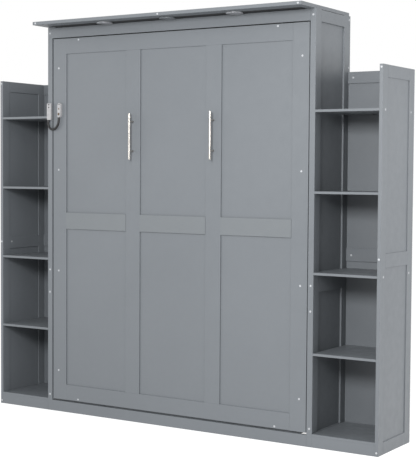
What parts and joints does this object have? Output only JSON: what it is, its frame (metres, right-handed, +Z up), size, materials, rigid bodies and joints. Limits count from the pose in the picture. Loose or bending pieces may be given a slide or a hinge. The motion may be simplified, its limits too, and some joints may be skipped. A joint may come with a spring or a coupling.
{
  "type": "murphy wall bed",
  "caption": "Vertical queen-size wall bed whose frame-and-panel face folds down from a cabinet under a deep crown, with an open shelf tower on each side.",
  "frame": {"origin": "on the floor, in the middle of the overall box of the cabinet, its crown and both towers", "axes": "+X to the right seen from the room, +Y towards the wall, +Z up"},
  "size_m": [2.4444, 0.5312, 2.214],
  "materials": {
    "painted_wood": "satin grey paint on board",
    "slat_wood": "bare planed softwood",
    "satin_nickel": "satin nickel",
    "black_steel": "black powder coat",
    "rod_chrome": "polished chrome",
    "cap_plastic": "light grey moulded plastic",
    "lock_body": "light grey moulded plastic",
    "lock_brass": "dark bronzed brass",
    "lamp_metal": "light grey enamel",
    "lamp_lens": "frosted diffuser",
    "foot_rubber": "black rubber",
    "cable_jacket": "black vinyl jacket over steel cable",
    "wire_cover": "matt black extrusion",
    "strap_webbing": "black elastic webbing"
  },
  "bodies": {
    "cabinet": {"cabinet_left_frame": "painted_wood", "cabinet_left_panels": "painted_wood", "cabinet_right_frame": "painted_wood", "cabinet_right_panels": "painted_wood", "crown_board": "painted_wood", "crown_wire_cover": "wire_cover", "fascia_rail": "painted_wood", "plinth_board": "painted_wood", "wall_fixing_rail": "painted_wood", "rear_cross_rails": "painted_wood", "crown_lamp_housings": "lamp_metal", "crown_lamp_lenses": "lamp_lens", "crown_sensor": "painted_wood", "left_tower_side_frame": "painted_wood", "left_tower_side_panels": "painted_wood", "left_tower_back_rails": "painted_wood", "left_tower_back_panels": "painted_wood", "left_tower_shelves": "painted_wood", "right_tower_side_frame": "painted_wood", "right_tower_side_panels": "painted_wood", "right_tower_back_rails": "painted_wood", "right_tower_back_panels": "painted_wood", "right_tower_shelves": "painted_wood", "tower_kick_boards": "painted_wood", "carcass_screw_caps": "cap_plastic", "left_pivot_plate": "black_steel", "right_pivot_plate": "black_steel", "left_strut_anchor": "black_steel", "right_strut_anchor": "black_steel", "lock_anchor_plate": "lock_body"},
    "bed": {"face_stiles": "painted_wood", "face_end_rails": "painted_wood", "face_mid_rails": "painted_wood", "face_panels": "painted_wood", "face_screw_caps": "cap_plastic", "handle_left": "satin_nickel", "handle_right": "satin_nickel", "bed_side_rails": "painted_wood", "bed_end_rails": "painted_wood", "bed_centre_beam": "painted_wood", "slat_ledges": "slat_wood", "slats": "slat_wood", "mattress_straps": "strap_webbing", "left_hinge_arm": "black_steel", "right_hinge_arm": "black_steel", "left_strut_stud": "rod_chrome", "right_strut_stud": "rod_chrome", "leg_pivots": "black_steel", "lock_plate": "lock_body", "lock_cable": "cable_jacket", "lock_cable_ferrule": "black_steel"},
    "left_leg": {"left_leg": "black_steel", "left_leg_foot": "foot_rubber"},
    "right_leg": {"right_leg": "black_steel", "right_leg_foot": "foot_rubber"},
    "left_strut_barrel": {"left_strut_barrel": "black_steel"},
    "right_strut_barrel": {"right_strut_barrel": "black_steel"},
    "left_strut_rod": {"left_strut_rod": "rod_chrome"},
    "right_strut_rod": {"right_strut_rod": "rod_chrome"},
    "lock_barrel": {"lock_barrel": "lock_brass"}
  },
  "joints": [
    {"name": "bed_fold", "type": "hinge", "parent": "cabinet", "child": "bed", "pos_m": [0, 0.0076, 0.3], "axis": [1, 0, 0], "range_deg": [0, 90], "stiffness_Nm_per_rad": 300, "springref_deg": -12.61},
    {"name": "left_leg_swing", "type": "hinge", "parent": "bed", "child": "left_leg", "pos_m": [-0.8, -0.0004, 2.12], "axis": [1, 0, 0], "range_deg": [0, 258]},
    {"name": "left_strut_swing", "type": "hinge", "parent": "cabinet", "child": "left_strut_barrel", "pos_m": [-0.805, 0.0776, 0.93], "axis": [1, 0, 0], "range_deg": [0, 1.2]},
    {"name": "left_strut_slide", "type": "slide", "parent": "left_strut_barrel", "child": "left_strut_rod", "axis": [0, -0.0489, 0.9988], "range_m": [0, 0.2136]},
    {"name": "right_leg_swing", "type": "hinge", "parent": "bed", "child": "right_leg", "pos_m": [0.8, -0.0004, 2.12], "axis": [1, 0, 0], "range_deg": [0, 258]},
    {"name": "right_strut_swing", "type": "hinge", "parent": "cabinet", "child": "right_strut_barrel", "pos_m": [0.805, 0.0776, 0.93], "axis": [1, 0, 0], "range_deg": [0, 1.2]},
    {"name": "right_strut_slide", "type": "slide", "parent": "right_strut_barrel", "child": "right_strut_rod", "axis": [0, -0.0489, 0.9988], "range_m": [0, 0.2136]},
    {"name": "lock_turn", "type": "hinge", "parent": "bed", "child": "lock_barrel", "pos_m": [-0.7685, -0.1349, 1.704], "axis": [0, -1, 0], "range_deg": [0, 90]}
  ],
  "couplings": [
    {"joint": "left_leg_swing", "follows": "bed_fold", "ratio": 2.8611},
    {"joint": "left_strut_swing", "follows": "bed_fold", "ratio": 0.012554},
    {"joint": "left_strut_slide", "follows": "bed_fold", "m_per_rad": 0.13474},
    {"joint": "right_leg_swing", "follows": "bed_fold", "ratio": 2.8611},
    {"joint": "right_strut_swing", "follows": "bed_fold", "ratio": 0.012554},
    {"joint": "right_strut_slide", "follows": "bed_fold", "m_per_rad": 0.13474}
  ]
}
